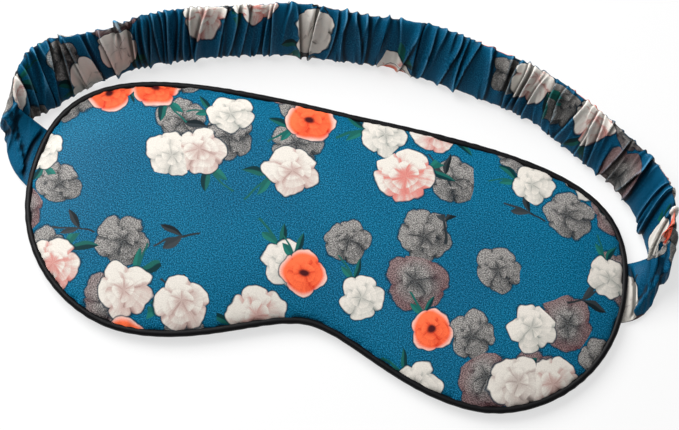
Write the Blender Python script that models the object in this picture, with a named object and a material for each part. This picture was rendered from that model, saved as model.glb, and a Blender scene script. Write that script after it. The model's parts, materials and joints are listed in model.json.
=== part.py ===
"""Padded satin sleep mask: a piped pad of sewn layers, with a gathered elastic strap sewn into its side seams.

Metres, +Z up. The mask lies on its back face, z = 0, with its front up and its brow edge towards +Y.
The origin is on the back face, half way up the mask. The strap lies behind the brow edge,
stands on its long edge, and swings about the line through its two sewn ends.
"""
import math

import bmesh
import bpy
from mathutils import Vector
from mathutils.geometry import interpolate_bezier

MM = 0.001

# Mask outline, over the piping
MASK_WIDTH = 210 * MM
BROW_Y = 47.5 * MM             # top edge at the middle
LOBE_Y = -48.0 * MM            # lowest point of each eye lobe
LOBE_X = 60 * MM
NOTCH_Y = -31.5 * MM           # top of the nose notch
SIDE_Y = 1 * MM                # height of the widest point
BROW_PULL = 76 * MM            # the pulls set how far each curve runs straight before it turns
BROW_ARCH = 1.3 * MM
TEMPLE_PULL = 41.5 * MM
CHEEK_PULL = 31 * MM
LOBE_PULL = 20 * MM
NOSE_LOBE_PULL = 25.5 * MM
NOSE_PULL = 14 * MM
OUTLINE_POINTS = 64

# Sewn layers, from the back face up
BACK_THICK = 0.6 * MM
LINING_THICK = 0.4 * MM
FRONT_THICK = 0.6 * MM
LAYER_GAP = 0.3 * MM
BACK_LIFT = 1.2 * MM           # how far the back panel rises to the seam
CROWN = 5.0 * MM               # rise of the front above its seam
CROWN_POWER = 2.5
CROWN_LEVEL_FROM = 0.80        # shares of the way in from the seam to the spine
BACK_LEVEL_FROM = 0.36
CENTRE_RING = 0.85
SPINE_SHARE = 0.55             # the spine's length as a share of the mask's width
SPINE_RISE = 8 * MM

# Piping: a bias strip folded over a cord, its two plies caught in the seam
PIPING_RADIUS = 1.3 * MM
PIPING_WALL = 0.4 * MM
PLY_THICK = 0.4 * MM
PLY_SLIT = 0.4 * MM
PLY_REACH = 5.0 * MM
SEAM_CLEAR = 0.2 * MM
FILL_CLEAR = 1.6 * MM          # padding and lining stop this far inside the plies

# Strap
STRAP_END_Y = 4.5 * MM         # middle of the sewn end on the side seam
STRAP_END_WIDTH = 22 * MM
STRAP_END_THICK = 1.0 * MM
STRAP_WIDTH = 24.5 * MM
END_REACH = 3.0 * MM           # the flat sewn end shows this far past the piping
LOOP_CLEAR = 0.3 * MM
ELASTIC_THICK = 0.8 * MM
ELASTIC_EDGE_PLAY = 2.6 * MM
ELASTIC_FACE_PLAY = 0.9 * MM
SLEEVE_WALL = 0.5 * MM
SIDE_WALL = 0.9 * MM           # sleeve wall past the elastic's edges
GATHER_DEPTH = 0.9 * MM
GATHER_COUNT = 44
LEAN = math.radians(66)        # the standing band leans back by 24 degrees
TWIST_LENGTH = 18 * MM
SIDE_OUT = 6 * MM              # the loop's side stands this far outside the mask
SIDE_TURN_Y = 24 * MM
LOOP_BEHIND = 27.3 * MM        # from the brow edge to the strap's middle line
END_PULL = 8 * MM
TURN_IN_PULL = 11 * MM
TURN_OUT_PULL = 27 * MM
TURN_SLOPE = 0.1
BACK_PULL = 54 * MM
SECTION_POINTS = 10

# Heights and insets of the seam's layers at the mask's edge
STRAP_END_Z = BACK_LIFT + BACK_THICK + LAYER_GAP
PLY_Z = STRAP_END_Z + STRAP_END_THICK + LAYER_GAP
PIPING_Z = PLY_Z + PLY_THICK + PLY_SLIT / 2
FRONT_Z = PIPING_Z + PLY_SLIT / 2 + PLY_THICK + LAYER_GAP
SEAM_INSET = 2 * PIPING_RADIUS + SEAM_CLEAR
PIPING_BORE = PIPING_RADIUS - PIPING_WALL
CORD_RADIUS = PIPING_BORE - LAYER_GAP
UNDER_PIPING_Z = PIPING_Z - PIPING_RADIUS - LAYER_GAP
STRAP_END_MID_Z = UNDER_PIPING_Z - STRAP_END_THICK / 2
END_CAUGHT = SEAM_INSET + PLY_REACH

# Sizes inside the strap
LOOP_START_X = MASK_WIDTH / 2 + END_REACH + LOOP_CLEAR
BORE_HALF = ELASTIC_THICK / 2 + ELASTIC_FACE_PLAY
ELASTIC_HALF_WIDTH = STRAP_END_WIDTH / 2 - SIDE_WALL - ELASTIC_EDGE_PLAY

# Finishes: linear colour and roughness
BLUE_SATIN = ((0.006, 0.122, 0.296), 0.38)
BLACK_SATIN = ((0.007, 0.007, 0.008), 0.40)
BLACK_CLOTH = ((0.010, 0.010, 0.012), 0.85)
WHITE_FILL = ((0.80, 0.80, 0.78), 0.90)
WHITE_ELASTIC = ((0.75, 0.75, 0.73), 0.75)


def clear_scene():
    for item in list(bpy.data.objects):
        bpy.data.objects.remove(item, do_unlink=True)


def make_material(name, finish):
    colour, roughness = finish
    material = bpy.data.materials.new(name)
    material.use_nodes = True
    shader = material.node_tree.nodes["Principled BSDF"]
    shader.inputs["Base Color"].default_value = (*colour, 1.0)
    shader.inputs["Roughness"].default_value = roughness
    shader.inputs["Metallic"].default_value = 0.0
    return material


def make_object(name, build, finish):
    """A named object from a bmesh, with its faces turned outwards."""
    bmesh.ops.recalc_face_normals(build, faces=build.faces)
    mesh = bpy.data.meshes.new(name)
    build.to_mesh(mesh)
    build.free()
    mesh.materials.append(make_material(name, finish))
    mesh.shade_smooth()
    mesh.set_sharp_from_angle(angle=math.radians(40))
    item = bpy.data.objects.new(name, mesh)
    bpy.context.scene.collection.objects.link(item)
    return item


def mix(low, high, share):
    return low + (high - low) * share


def smooth_step(value):
    value = min(max(value, 0.0), 1.0)
    return value * value * (3 - 2 * value)


def resample(points, count):
    """Points at even spacing along an open polyline, both ends kept."""
    reach = [0.0]
    for start, end in zip(points, points[1:]):
        reach.append(reach[-1] + (end - start).length)
    result, index = [], 0
    for step in range(count):
        goal = reach[-1] * step / (count - 1)
        while index < len(points) - 2 and reach[index + 1] < goal:
            index += 1
        share = (goal - reach[index]) / (reach[index + 1] - reach[index])
        result.append(points[index].lerp(points[index + 1], share))
    return result


def bezier_run(pieces):
    """A dense polyline through Bezier pieces, each given as its four corners in the plan."""
    run = []
    for corners in pieces:
        piece = interpolate_bezier(*[Vector((x, y, 0)) for x, y in corners], 40)
        run += piece if not run else piece[1:]
    return run


def mask_outline():
    """The closed outline over the piping, once round from the nose notch."""
    side = MASK_WIDTH / 2
    half = bezier_run([
        [(0, BROW_Y), (BROW_PULL, BROW_Y + BROW_ARCH), (side, SIDE_Y + TEMPLE_PULL), (side, SIDE_Y)],
        [(side, SIDE_Y), (side, SIDE_Y - CHEEK_PULL), (LOBE_X + LOBE_PULL, LOBE_Y), (LOBE_X, LOBE_Y)],
        [(LOBE_X, LOBE_Y), (LOBE_X - NOSE_LOBE_PULL, LOBE_Y), (NOSE_PULL, NOTCH_Y), (0, NOTCH_Y)],
    ])
    right = resample(half, OUTLINE_POINTS // 2 + 1)
    left = [Vector((-p.x, p.y, 0)) for p in right[1:-1]]
    return list(reversed(right[1:])) + [right[0]] + left


def outward(outline):
    """The outline's outward normal at each of its points."""
    normals = []
    for index in range(len(outline)):
        along = outline[(index + 1) % len(outline)] - outline[index - 1]
        normals.append(Vector((along.y, -along.x, 0)).normalized())
    return normals


def spine_point(point):
    """Where the loft from this seam point ends, on the curve along the mask's middle."""
    across = point.x / (MASK_WIDTH / 2)
    return Vector((point.x * SPINE_SHARE, SPINE_RISE * (1 - across * across), 0))


OUTLINE = mask_outline()
NORMALS = outward(OUTLINE)
SEAM = [p - n * SEAM_INSET for p, n in zip(OUTLINE, NORMALS)]
SHORTEST_WAY_IN = min((p - spine_point(p)).length for p in SEAM)
FILL_FROM = (PLY_REACH + FILL_CLEAR) / SHORTEST_WAY_IN


def plan_ring(share, height):
    """One closed ring of a layer: the seam line drawn in towards the spine, at a height."""
    return [p.lerp(spine_point(p), share) + Vector((0, 0, height)) for p in SEAM]


def front_top(share):
    run = min(share / CROWN_LEVEL_FROM, 1.0)
    return FRONT_Z + FRONT_THICK + CROWN * (1 - (1 - run) ** CROWN_POWER)


def front_bottom(share):
    return front_top(share) - FRONT_THICK


def back_bottom(share):
    run = min(share / BACK_LEVEL_FROM, 1.0)
    return BACK_LIFT * (1 - run) ** 2


def back_top(share):
    return back_bottom(share) + BACK_THICK


def lining_bottom(share):
    return back_top(share) + LAYER_GAP


def lining_top(share):
    return lining_bottom(share) + LINING_THICK


def fill_bottom(share):
    return lining_top(share) + LAYER_GAP


def fill_top(share):
    return front_bottom(share) - LAYER_GAP


def bridge(build, first, second):
    """A closed band of quads between two rings of vertices."""
    for index in range(len(first)):
        following = (index + 1) % len(first)
        build.faces.new((first[index], first[following], second[following], second[index]))


def add_rings(build, rings):
    return [[build.verts.new(point) for point in ring] for ring in rings]


def make_layer(name, shares, bottom, top, finish):
    """A sewn layer, closed at its edge, between two heights that depend on the way in from the seam."""
    build = bmesh.new()
    upper = add_rings(build, [plan_ring(s, top(s)) for s in shares])
    lower = add_rings(build, [plan_ring(s, bottom(s)) for s in shares])
    for rings in (upper, lower):
        for outer, inner in zip(rings, rings[1:]):
            bridge(build, outer, inner)
        build.faces.new(rings[-1])
    bridge(build, upper[0], lower[0])
    return make_object(name, build, finish)


def make_tube(name, rings, finish):
    """A solid bar through a run of rings, closed flat at both ends."""
    build = bmesh.new()
    rings = add_rings(build, rings)
    for first, second in zip(rings, rings[1:]):
        bridge(build, first, second)
    build.faces.new(rings[0])
    build.faces.new(rings[-1])
    return make_object(name, build, finish)


def sweep_edge(name, section, finish):
    """A section of (outward, up) points carried once round the mask's edge on the piping's middle line."""
    build = bmesh.new()
    rings = []
    for point, normal in zip(OUTLINE, NORMALS):
        middle = point - normal * PIPING_RADIUS + Vector((0, 0, PIPING_Z))
        rings.append([middle + normal * out + Vector((0, 0, up)) for out, up in section])
    rings = add_rings(build, rings)
    for first, second in zip(rings, rings[1:] + rings[:1]):
        bridge(build, first, second)
    return make_object(name, build, finish)


def arc(radius, start, end, count):
    steps = [mix(start, end, i / (count - 1)) for i in range(count)]
    return [(radius * math.cos(a), radius * math.sin(a)) for a in steps]


def make_piping():
    """The folded cover, open between its two plies, and the cord inside it."""
    slit = math.pi - math.asin(PLY_SLIT / 2 / PIPING_BORE)
    shoulder = math.pi - math.asin((PLY_SLIT / 2 + PLY_THICK) / PIPING_RADIUS)
    inner_end = PIPING_RADIUS - SEAM_INSET - PLY_REACH
    section = [(inner_end, PLY_SLIT / 2)]
    section += arc(PIPING_BORE, slit, -slit, 7)
    section += [(inner_end, -PLY_SLIT / 2), (inner_end, -PLY_SLIT / 2 - PLY_THICK)]
    section += arc(PIPING_RADIUS, -shoulder, shoulder, 8)
    section += [(inner_end, PLY_SLIT / 2 + PLY_THICK)]
    sweep_edge("piping_cover", section, BLACK_SATIN)
    cord_sides = 8
    last = 2 * math.pi * (cord_sides - 1) / cord_sides
    sweep_edge("piping_cord", arc(CORD_RADIUS, 0, last, cord_sides), WHITE_FILL)


def edge_x(y):
    """The mask's half width at a height on its right side."""
    side = sorted((p for p in OUTLINE if p.x > LOBE_X), key=lambda p: p.y)
    for low, high in zip(side, side[1:]):
        if low.y <= y <= high.y:
            return mix(low.x, high.x, (y - low.y) / (high.y - low.y))
    raise ValueError("the sewn end lies off the side seam")


def make_strap_end(name, hand):
    """The flat sewn end of the strap: in the seam under the piping's plies, then out below the piping."""
    step_in = -SEAM_INSET - SEAM_CLEAR / 2
    step_out = -SEAM_INSET + SEAM_CLEAR * 3
    drop = STRAP_END_Z + STRAP_END_THICK - UNDER_PIPING_Z
    low, top = STRAP_END_Z, STRAP_END_Z + STRAP_END_THICK
    outer = MASK_WIDTH / 2 + END_REACH
    rings = []
    stations = 7
    for index in range(stations):
        y = STRAP_END_Y + STRAP_END_WIDTH * (index / (stations - 1) - 0.5)
        edge = edge_x(y)
        profile = [(edge - END_CAUGHT, low), (edge + step_out, low), (edge + step_out + drop, low - drop),
                   (outer, low - drop), (outer, top - drop), (edge + step_in + drop, top - drop),
                   (edge + step_in, top), (edge - END_CAUGHT, top)]
        rings.append([Vector((hand * x, y, z)) for x, z in profile])
    return make_tube(name, rings, BLUE_SATIN)


def loop_line():
    """The strap's middle line in the plan, from its left sewn end round the back to its right one."""
    turn_x, turn_y = MASK_WIDTH / 2 + SIDE_OUT, SIDE_TURN_Y
    back_y = BROW_Y + LOOP_BEHIND
    half = bezier_run([
        [(LOOP_START_X, STRAP_END_Y), (LOOP_START_X + END_PULL, STRAP_END_Y),
         (turn_x + TURN_SLOPE * TURN_IN_PULL, turn_y - TURN_IN_PULL), (turn_x, turn_y)],
        [(turn_x, turn_y), (turn_x - TURN_SLOPE * TURN_OUT_PULL, turn_y + TURN_OUT_PULL),
         (BACK_PULL, back_y), (0, back_y)],
    ])
    left = [Vector((-p.x, p.y, 0)) for p in half]
    return left + list(reversed(half))[1:]


def loop_frames(count):
    """Even stations along the strap: plan point, way along, and share of the twist done."""
    points = resample(loop_line(), count)
    spacing = (points[1] - points[0]).length
    frames = []
    for index, point in enumerate(points):
        ahead = points[min(index + 1, count - 1)] - points[max(index - 1, 0)]
        along = ahead.normalized() if 0 < index < count - 1 else Vector((-1, 0, 0))
        from_end = min(index, count - 1 - index) * spacing
        frames.append((point, along, smooth_step(from_end / TWIST_LENGTH)))
    return frames


def oval_section():
    """A flat oval, fuller than an ellipse, from -1 to 1 each way."""
    points = []
    for index in range(SECTION_POINTS):
        angle = 2 * math.pi * index / SECTION_POINTS
        c, s = math.cos(angle), math.sin(angle)
        points.append((math.copysign(abs(c) ** 0.6, c), math.copysign(abs(s) ** 0.8, s)))
    return points


OVAL = oval_section()


def outer_half_width(twist):
    return mix(STRAP_END_WIDTH, STRAP_WIDTH, twist) / 2


def middle_height(twist):
    """Height of the strap's middle line, so that its lower edge stays on the table."""
    angle = LEAN * twist
    half_thick = BORE_HALF + SLEEVE_WALL + GATHER_DEPTH * twist
    reach = max(a * outer_half_width(twist) * math.sin(angle) + t * half_thick * math.cos(angle) for a, t in OVAL)
    flat_reach = max(t for a, t in OVAL) * (BORE_HALF + SLEEVE_WALL)
    return reach + (STRAP_END_MID_Z - flat_reach) * (1 - twist)


def band_ring(frame, half_width, half_thick, section):
    """One ring of the strap: a section of (across, through) points on the leaning band."""
    point, along, twist = frame
    angle = LEAN * twist
    across = Vector((0, math.cos(angle), math.sin(angle)))
    through = across.cross(along).normalized()
    middle = Vector((point.x, point.y, middle_height(twist)))
    return [middle + across * (a * half_width) + through * (t * half_thick) for a, t in section]


def make_sleeve():
    """The gathered sleeve: an open-ended flat tube whose wall rises and falls once for each gather."""
    build = bmesh.new()
    outer, inner = [], []
    for index, frame in enumerate(loop_frames(2 * GATHER_COUNT + 1)):
        depth = GATHER_DEPTH * frame[2]
        crest = depth * (index % 2)
        half_width = outer_half_width(frame[2]) - (depth - crest) / 3
        outer.append(band_ring(frame, half_width, BORE_HALF + SLEEVE_WALL + crest, OVAL))
    for frame in loop_frames(GATHER_COUNT + 1):
        half_width = outer_half_width(frame[2]) - SIDE_WALL - GATHER_DEPTH * frame[2] / 3
        inner.append(band_ring(frame, half_width, BORE_HALF, OVAL))
    outer, inner = add_rings(build, outer), add_rings(build, inner)
    for rings in (outer, inner):
        for first, second in zip(rings, rings[1:]):
            bridge(build, first, second)
    bridge(build, outer[0], inner[0])
    bridge(build, outer[-1], inner[-1])
    return make_object("strap_sleeve", build, BLUE_SATIN)


def make_elastic():
    """The flat elastic band that runs loose inside the sleeve."""
    corners = [(-1, -1), (1, -1), (1, 1), (-1, 1)]
    rings = [band_ring(frame, ELASTIC_HALF_WIDTH, ELASTIC_THICK / 2, corners)
             for frame in loop_frames(GATHER_COUNT + 1)]
    return make_tube("strap_elastic", rings, WHITE_ELASTIC)


def main():
    clear_scene()
    make_layer("front_panel", [0, 0.05, 0.13, 0.27, 0.5, CENTRE_RING], front_bottom, front_top, BLUE_SATIN)
    make_layer("padding", [FILL_FROM, 0.27, 0.5, CENTRE_RING], fill_bottom, fill_top, WHITE_FILL)
    make_layer("blackout_lining", [FILL_FROM, 0.26, BACK_LEVEL_FROM, CENTRE_RING], lining_bottom, lining_top,
               BLACK_CLOTH)
    make_layer("back_panel", [0, 0.1, 0.2, BACK_LEVEL_FROM, CENTRE_RING], back_bottom, back_top, BLUE_SATIN)
    make_piping()
    make_strap_end("right_strap_end", 1)
    make_strap_end("left_strap_end", -1)

    pivot = bpy.data.objects.new("strap_pivot", None)
    bpy.context.scene.collection.objects.link(pivot)
    pivot.location = (0, STRAP_END_Y, STRAP_END_MID_Z)
    for item in (make_sleeve(), make_elastic()):
        item.parent = pivot
        item.matrix_parent_inverse = pivot.matrix_basis.inverted()


main()
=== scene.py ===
# %% [markdown]
# This lesson dresses a padded satin sleep mask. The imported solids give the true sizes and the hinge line
# of the strap. This script gives the cloth: a stuffed printed front, black piping and a gathered strap.
# Lengths are in metres, and a value in millimetres is multiplied by MM.

# %% Load the frame
import json
import math

import bpy
import numpy as np
from mathutils import Matrix, Vector
from mathutils.bvhtree import BVHTree


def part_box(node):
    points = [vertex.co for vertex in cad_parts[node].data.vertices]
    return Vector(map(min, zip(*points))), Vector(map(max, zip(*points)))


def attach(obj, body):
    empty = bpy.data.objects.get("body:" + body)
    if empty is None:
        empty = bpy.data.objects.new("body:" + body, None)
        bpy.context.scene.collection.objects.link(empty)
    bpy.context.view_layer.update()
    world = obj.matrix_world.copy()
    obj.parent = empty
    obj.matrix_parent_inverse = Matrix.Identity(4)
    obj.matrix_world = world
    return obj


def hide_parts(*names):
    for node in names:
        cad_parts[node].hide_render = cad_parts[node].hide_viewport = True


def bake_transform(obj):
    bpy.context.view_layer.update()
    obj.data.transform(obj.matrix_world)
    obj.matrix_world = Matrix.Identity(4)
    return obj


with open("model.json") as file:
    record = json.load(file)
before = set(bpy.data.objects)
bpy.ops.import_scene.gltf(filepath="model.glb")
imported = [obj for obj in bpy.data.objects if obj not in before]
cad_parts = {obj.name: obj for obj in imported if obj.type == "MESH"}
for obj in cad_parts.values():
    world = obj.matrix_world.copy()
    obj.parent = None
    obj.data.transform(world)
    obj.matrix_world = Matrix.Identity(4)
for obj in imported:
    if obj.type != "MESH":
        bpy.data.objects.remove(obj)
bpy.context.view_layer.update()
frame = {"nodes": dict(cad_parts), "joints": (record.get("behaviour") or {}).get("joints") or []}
MM = 0.001

# %% [markdown]
# The photograph looks steeply down on the mask from the side of the nose, in the mask's plane of
# symmetry, and is tilted a little to one side. A long lens gives the same weak perspective. The camera
# is set from two angles, a distance and the point it looks at, so each can be corrected by itself.

# %% Camera
CAMERA_RISE = math.radians(70)
CAMERA_ROLL = math.radians(12.7)
CAMERA_DISTANCE = 621 * MM
LOOK_AT = Vector((2.2, 9.4, 5.0)) * MM
FOCAL_PIXELS = 1800
PHOTO_WIDTH = 679
SENSOR_WIDTH = 36.0
CLIP_START = 0.01

back_way = Vector((0, -math.cos(CAMERA_RISE), math.sin(CAMERA_RISE)))
level_right = Vector((1, 0, 0))
level_up = back_way.cross(level_right)
roll_right = level_right * math.cos(CAMERA_ROLL) + level_up * math.sin(CAMERA_ROLL)
roll_up = level_up * math.cos(CAMERA_ROLL) - level_right * math.sin(CAMERA_ROLL)
place = LOOK_AT + back_way * CAMERA_DISTANCE
bpy.ops.object.select_all(action="DESELECT")
bpy.ops.object.camera_add()
camera = bpy.context.object
camera.matrix_world = Matrix((
    (roll_right.x, roll_up.x, back_way.x, place.x),
    (roll_right.y, roll_up.y, back_way.y, place.y),
    (roll_right.z, roll_up.z, back_way.z, place.z),
    (0, 0, 0, 1)))
camera.data.sensor_width = SENSOR_WIDTH
camera.data.lens = FOCAL_PIXELS * SENSOR_WIDTH / PHOTO_WIDTH
camera.data.clip_start = CLIP_START
bpy.context.scene.camera = camera
print("lens in mm", round(camera.data.lens, 1))

# %% [markdown]
# Materials are built from nodes. A few short helpers keep the node work readable: one adds a node and
# fills its sockets with values or links, the others are the sums and mixes that every pattern needs.

# %% Node helpers


def srgb(red, green, blue):
    """A colour as seen on a screen, 0 to 255, turned into the linear values that the nodes use."""
    shares = [channel / 255 for channel in (red, green, blue)]
    return (*[s / 12.92 if s <= 0.04045 else ((s + 0.055) / 1.055) ** 2.4 for s in shares], 1.0)


def node(tree, kind, inputs=None, **settings):
    """A new node with its settings, and with values or links in its inputs."""
    made = tree.nodes.new(kind)
    for name, value in settings.items():
        setattr(made, name, value)
    for key, value in (inputs or {}).items():
        if isinstance(value, bpy.types.NodeSocket):
            tree.links.new(value, made.inputs[key])
        else:
            made.inputs[key].default_value = value
    return made


def calc(tree, operation, *values):
    return node(tree, "ShaderNodeMath", dict(enumerate(values)), operation=operation).outputs[0]


def vector(tree, operation, *values):
    made = node(tree, "ShaderNodeVectorMath", dict(enumerate(values)), operation=operation)
    return made.outputs["Value" if operation == "LENGTH" else "Vector"]


def scaled(tree, value, factor):
    made = node(tree, "ShaderNodeVectorMath", {0: value, "Scale": factor}, operation="SCALE")
    return made.outputs["Vector"]


def spun(tree, value, angle):
    """A vector turned in the plane of the cloth."""
    made = node(tree, "ShaderNodeVectorRotate", {"Vector": value, "Angle": angle}, rotation_type="Z_AXIS")
    return made.outputs["Vector"]


def plan_parts(tree, value):
    """The two parts of a vector in the plane of the cloth."""
    made = node(tree, "ShaderNodeSeparateXYZ", {"Vector": value})
    return made.outputs["X"], made.outputs["Y"]


def ease(tree, value, low, high):
    """0 below low, 1 above high, smooth between."""
    made = node(tree, "ShaderNodeMapRange", {"Value": value, "From Min": low, "From Max": high},
                interpolation_type="SMOOTHSTEP")
    return made.outputs["Result"]


def mix(tree, share, first, second):
    made = node(tree, "ShaderNodeMix", {0: share, 6: first, 7: second}, data_type="RGBA")
    return made.outputs[2]


def noise(tree, coords, scale, detail=2.0):
    return node(tree, "ShaderNodeTexNoise", {"Vector": coords, "Scale": scale, "Detail": detail})


def new_material(name):
    """A node material, its tree and its main shader."""
    material = bpy.data.materials.new(name)
    material.use_nodes = True
    return material, material.node_tree, material.node_tree.nodes["Principled BSDF"]


print("node helpers ready")

# %% [markdown]
# The floor is plain and pale. About two thirds of what the camera sees of it is its own light and the
# rest is lit paint, so that it stays near white and still shows a soft shadow. One wide lamp at the
# upper left gives the satin its gradient, a weaker one fills from above, and an even sky keeps the folds
# open.

# %% Floor and light
FLOOR_GLOW = 0.65
FLOOR_HALF = 3.0
FLOOR_PAINT, FLOOR_ROUGH = srgb(230, 230, 230), 0.9
SKY_STRENGTH = 0.11
# Each lamp's name, place, width and power
LAMPS = [("key", (-0.62, 0.40, 0.80), 0.85, 21.0), ("fill", (0.1, -0.2, 1.2), 0.9, 2.0)]

bpy.ops.object.select_all(action="DESELECT")
bpy.ops.mesh.primitive_plane_add(size=2 * FLOOR_HALF)
floor = bpy.context.object
floor.name = "floor"
floor_material, tree, shader = new_material("floor_paper")
shader.inputs["Base Color"].default_value = FLOOR_PAINT
shader.inputs["Roughness"].default_value = FLOOR_ROUGH
shader.inputs["Specular IOR Level"].default_value = 0.0
path = node(tree, "ShaderNodeLightPath")
seen = calc(tree, "MAXIMUM", path.outputs["Is Camera Ray"], path.outputs["Is Glossy Ray"])
seen = calc(tree, "MAXIMUM", seen, path.outputs["Is Transmission Ray"])
glow = node(tree, "ShaderNodeEmission", {"Color": (1, 1, 1, 1), "Strength": 1.0})
both = node(tree, "ShaderNodeMixShader", {0: calc(tree, "MULTIPLY", seen, FLOOR_GLOW),
                                          1: shader.outputs[0], 2: glow.outputs[0]})
tree.links.new(both.outputs[0], tree.nodes["Material Output"].inputs["Surface"])
floor.data.materials.append(floor_material)

world = bpy.data.worlds.new("studio")
bpy.context.scene.world = world
world.use_nodes = True
sky = world.node_tree.nodes["Background"]
sky.inputs["Color"].default_value = (1, 1, 1, 1)
sky.inputs["Strength"].default_value = SKY_STRENGTH

for name, place, size, power in LAMPS:
    bpy.ops.object.light_add(type="AREA", location=place)
    lamp = bpy.context.object
    lamp.name = name
    lamp.data.size = size
    lamp.data.energy = power
    lamp.rotation_euler = Vector(place).to_track_quat("Z", "Y").to_euler()
bpy.context.scene.view_settings.view_transform = "Standard"
print("floor and lamps ready", [lamp[0] for lamp in LAMPS])

# %% [markdown]
# The printed satin carries scattered flowers on a peacock-blue ground. It could be painted as one
# picture, but a pattern made of nodes stays sharp at any size. A Voronoi texture scatters cells over the
# cloth and gives each a place, a turn and some luck. Every flower kind is drawn around such places.

# %% Print colours and scatter
GROUND, GROUND_DEEP = srgb(3, 92, 124), srgb(3, 86, 118)
OUTLINE, SPECK = srgb(4, 38, 54), srgb(170, 190, 196)
WHITE_PALE, WHITE_DEEP, BLUSH = srgb(214, 208, 199), srgb(100, 110, 106), srgb(208, 112, 102)
CORAL_PALE, CORAL_DEEP, CORAL_HEART = srgb(244, 108, 66), srgb(190, 40, 24), srgb(70, 22, 26)
GREY_PALE, GREY_DEEP = srgb(134, 131, 128), srgb(34, 38, 42)
MAROON = srgb(104, 62, 66)
LEAF_PALE, LEAF_DEEP = srgb(34, 116, 104), srgb(8, 46, 50)
SPRIG_PALE, SPRIG_DEEP = srgb(60, 66, 70), srgb(20, 30, 34)
CELL_RANDOM = 0.8
SEED_STEP = (17.3, 9.1)
SIZE_LEAST, SIZE_SPREAD = 0.82, 0.35
LIGHT_WAY = (-0.6, 0.8)


def scatter(tree, cloth, cell, seed, radius):
    """Scattered places: the way from the nearest, in flower radii and turned, its luck and its slope."""
    moved = vector(tree, "ADD", cloth, (seed * SEED_STEP[0], seed * SEED_STEP[1], 0))
    cells = node(tree, "ShaderNodeTexVoronoi",
                 {"Vector": moved, "Scale": 1 / cell, "Randomness": CELL_RANDOM}, voronoi_dimensions="2D")
    luck = node(tree, "ShaderNodeSeparateColor", {"Color": cells.outputs["Color"]})
    away = vector(tree, "SUBTRACT", moved, cells.outputs["Position"])
    turned = spun(tree, away, calc(tree, "MULTIPLY", luck.outputs["Red"], 2 * math.pi))
    size = calc(tree, "MULTIPLY_ADD", luck.outputs["Green"], SIZE_SPREAD * radius, SIZE_LEAST * radius)
    local = scaled(tree, turned, calc(tree, "DIVIDE", 1.0, size))
    light_way = (LIGHT_WAY[0] / radius, LIGHT_WAY[1] / radius, 0)
    slope = node(tree, "ShaderNodeVectorMath", {0: away, 1: light_way}, operation="DOT_PRODUCT")
    return local, luck, slope.outputs["Value"]


print("print colours ready")

# %% [markdown]
# A flower head is a stack of petal rings, each smaller than the one below. The angle round the heart is
# cut into petals, each petal bows out and is shaded where the next one laps over it. A slope of light, a
# brushed noise and streaks along the petals give it the look of a painted flower.

# %% Petals
LAYER_SHRINK = 0.8
PETAL_BASE, PETAL_BOW, PETAL_FRAY = 0.82, 0.2, 0.45
SLOPE_LIGHT, BRUSH_LIGHT, STREAK_LIGHT = 0.3, 0.5, 0.7
BRUSH_SCALE = 2.2
STREAK_ALONG, STREAK_ROUND = 1.6, 7.0


def petals(tree, local, luck, light_from, count, layers, frayed):
    """A head of lapped petals: how far inside it a point is, its way from the heart, and its light."""
    reach = vector(tree, "LENGTH", local)
    x, y = plan_parts(tree, local)
    angle = calc(tree, "ARCTAN2", y, x)
    brush = noise(tree, local, BRUSH_SCALE, 3.0).outputs["Fac"]
    rays = node(tree, "ShaderNodeCombineXYZ", {"Z": calc(tree, "MULTIPLY", reach, STREAK_ALONG)})
    around = scaled(tree, vector(tree, "NORMALIZE", local), STREAK_ROUND)
    streak = noise(tree, vector(tree, "ADD", rays.outputs["Vector"], around), 1.0, 3.0).outputs["Fac"]
    inside, light = None, None
    for layer in range(layers):
        size = 1.0 - LAYER_SHRINK * layer / layers
        phase = calc(tree, "MULTIPLY_ADD", luck.outputs["Green"], 3.0 + layer, 0.37 * layer + 4.0)
        phase = calc(tree, "MULTIPLY_ADD", frayed, 0.35, phase)
        round_turn = calc(tree, "MULTIPLY_ADD", angle, (count - layer % 2) / (2 * math.pi), phase)
        lap = calc(tree, "FRACT", round_turn)
        bow = calc(tree, "SINE", calc(tree, "MULTIPLY", lap, math.pi))
        bowed = calc(tree, "POWER", bow, 0.5)
        edge = calc(tree, "MULTIPLY_ADD", bowed, PETAL_BOW * size, PETAL_BASE * size)
        edge = calc(tree, "MULTIPLY_ADD", frayed, PETAL_FRAY * size, edge)
        gap = calc(tree, "SUBTRACT", edge, reach)
        tip = ease(tree, calc(tree, "DIVIDE", reach, edge), 0.2, 1.0)
        shade = calc(tree, "MULTIPLY", ease(tree, lap, 0.0, 0.22), ease(tree, lap, 1.3, 0.6))
        tone = calc(tree, "MULTIPLY", calc(tree, "MULTIPLY_ADD", tip, 0.55, 0.45),
                    calc(tree, "MULTIPLY_ADD", shade, 0.7, 0.3))
        if layer == 0:
            inside, light = gap, tone
        else:
            over = ease(tree, gap, 0.0, 0.04)
            change = calc(tree, "MULTIPLY", over, calc(tree, "SUBTRACT", tone, light))
            light = calc(tree, "ADD", light, change)
    light = calc(tree, "MULTIPLY_ADD", light_from, SLOPE_LIGHT, light)
    for texture, strength in ((brush, BRUSH_LIGHT), (streak, STREAK_LIGHT)):
        light = calc(tree, "MULTIPLY_ADD", texture, strength, calc(tree, "SUBTRACT", light, strength / 2))
    return inside, reach, node(tree, "ShaderNodeClamp", {"Value": light}).outputs["Result"]


print("petals ready")

# %% [markdown]
# Stems and leaves tie the flowers to the ground. A stem is a bent line and a leaf is a lens beside it,
# both drawn in the flower's own measure, so they grow and turn with it.

# %% Stems and leaves
STEM_BEND, STEM_HALF, STEM_LENGTH = 0.10, 0.06, 2.0
LEAF_FOOT = (0.75, 0.05, 0)
LEAF_HALF = 0.17
LEAVES = ((0.62, 0.55), (-0.5, 0.46))      # turn and half length
SOFT_EDGE = 0.03


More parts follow.
